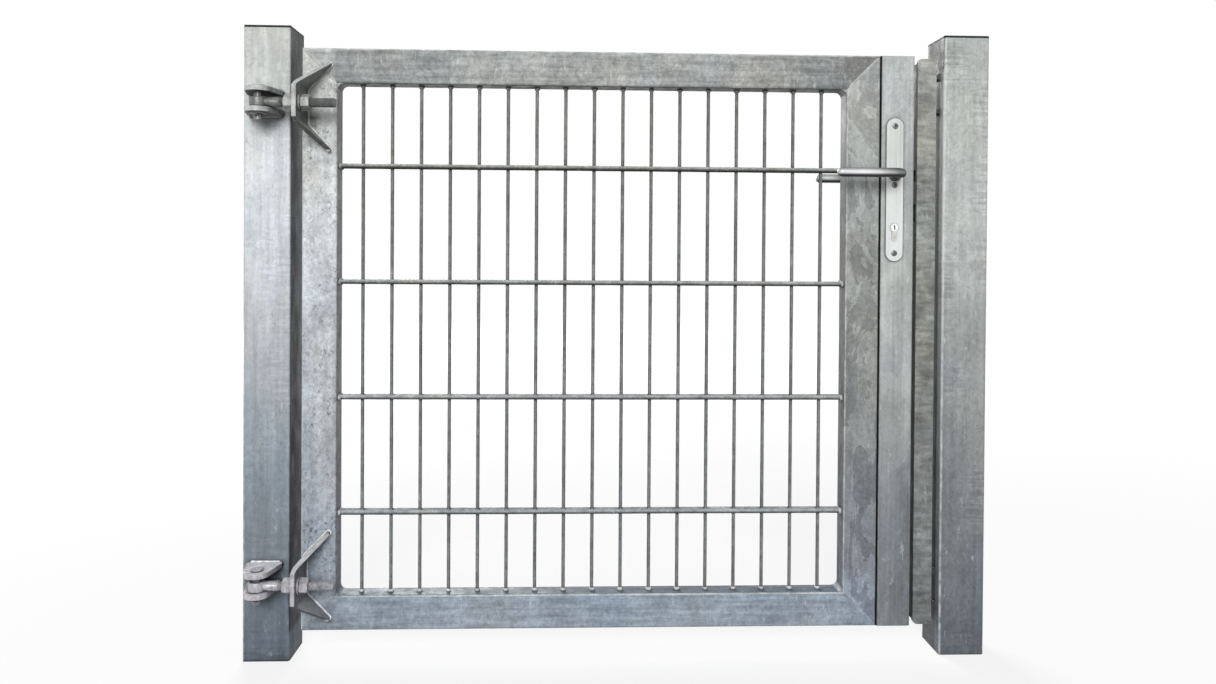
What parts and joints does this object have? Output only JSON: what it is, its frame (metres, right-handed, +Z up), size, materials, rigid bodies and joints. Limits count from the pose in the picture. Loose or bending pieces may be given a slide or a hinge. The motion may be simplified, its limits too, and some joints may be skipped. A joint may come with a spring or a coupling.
{
  "type": "single-leaf garden gate",
  "caption": "Galvanised single-leaf gate: mitred tube frame with rod mesh, lock box and lever, on adjustable eye-bolt hinges between square posts.",
  "frame": {"origin": "centre of the hinge post's foot, at ground level", "axes": "+X along the gate from the hinge post to the latch post, +Y away from the front, +Z up"},
  "size_m": [1.287, 0.171, 1.086],
  "materials": {
    "post_zinc": "hot-dip galvanised, cloudy grey",
    "frame_zinc": "hot-dip galvanised, mottled grey",
    "strip_zinc": "hot-dip galvanised, banded grey",
    "mesh_zinc": "hot-dip galvanised wire",
    "hinge_zinc": "hot-dip galvanised plate",
    "fastener_zinc": "galvanised fasteners",
    "cap_plastic": "matt black",
    "lock_steel": "nickel-plated, satin",
    "lever_metal": "satin"
  },
  "bodies": {
    "posts": {"hinge_post": "post_zinc", "latch_post": "post_zinc", "hinge_post_cap": "cap_plastic", "latch_post_cap": "cap_plastic", "top_upper_lug": "hinge_zinc", "top_lower_lug": "hinge_zinc", "bottom_upper_lug": "hinge_zinc", "bottom_lower_lug": "hinge_zinc", "top_pin": "fastener_zinc", "bottom_pin": "fastener_zinc", "top_pin_washer": "fastener_zinc", "bottom_pin_washer": "fastener_zinc", "keeper_strip": "strip_zinc", "keeper_tabs": "strip_zinc"},
    "leaf": {"top_bracket": "hinge_zinc", "bottom_bracket": "hinge_zinc", "top_eye_bolt": "fastener_zinc", "bottom_eye_bolt": "fastener_zinc", "top_outer_nut": "fastener_zinc", "top_inner_nut": "fastener_zinc", "bottom_outer_nut": "fastener_zinc", "bottom_inner_nut": "fastener_zinc", "top_washers": "fastener_zinc", "bottom_washers": "fastener_zinc", "hinge_stile": "frame_zinc", "latch_stile": "frame_zinc", "top_rail": "frame_zinc", "bottom_rail": "frame_zinc", "lock_box": "frame_zinc", "box_top_end": "frame_zinc", "box_bottom_end": "frame_zinc", "mesh_panel": "mesh_zinc", "face_plate": "lock_steel", "lock_case": "lock_steel", "latch_bolt": "lock_steel", "dead_bolt": "lock_steel", "lock_cylinder": "lock_steel", "front_escutcheon": "lever_metal", "back_escutcheon": "lever_metal"},
    "levers": {"front_lever": "lever_metal", "back_lever": "lever_metal", "spindle": "lock_steel"}
  },
  "joints": [
    {"name": "leaf_swing", "type": "hinge", "parent": "posts", "child": "leaf", "pos_m": [0, -0.085, 0.55], "axis": [0, 0, -1], "range_deg": [0, 180]},
    {"name": "lever_turn", "type": "hinge", "parent": "leaf", "child": "levers", "pos_m": [1.082, -0.015, 0.842], "axis": [0, -1, 0], "range_deg": [0, 40], "stiffness_Nm_per_rad": 1.4, "springref_deg": -40.11}
  ]
}
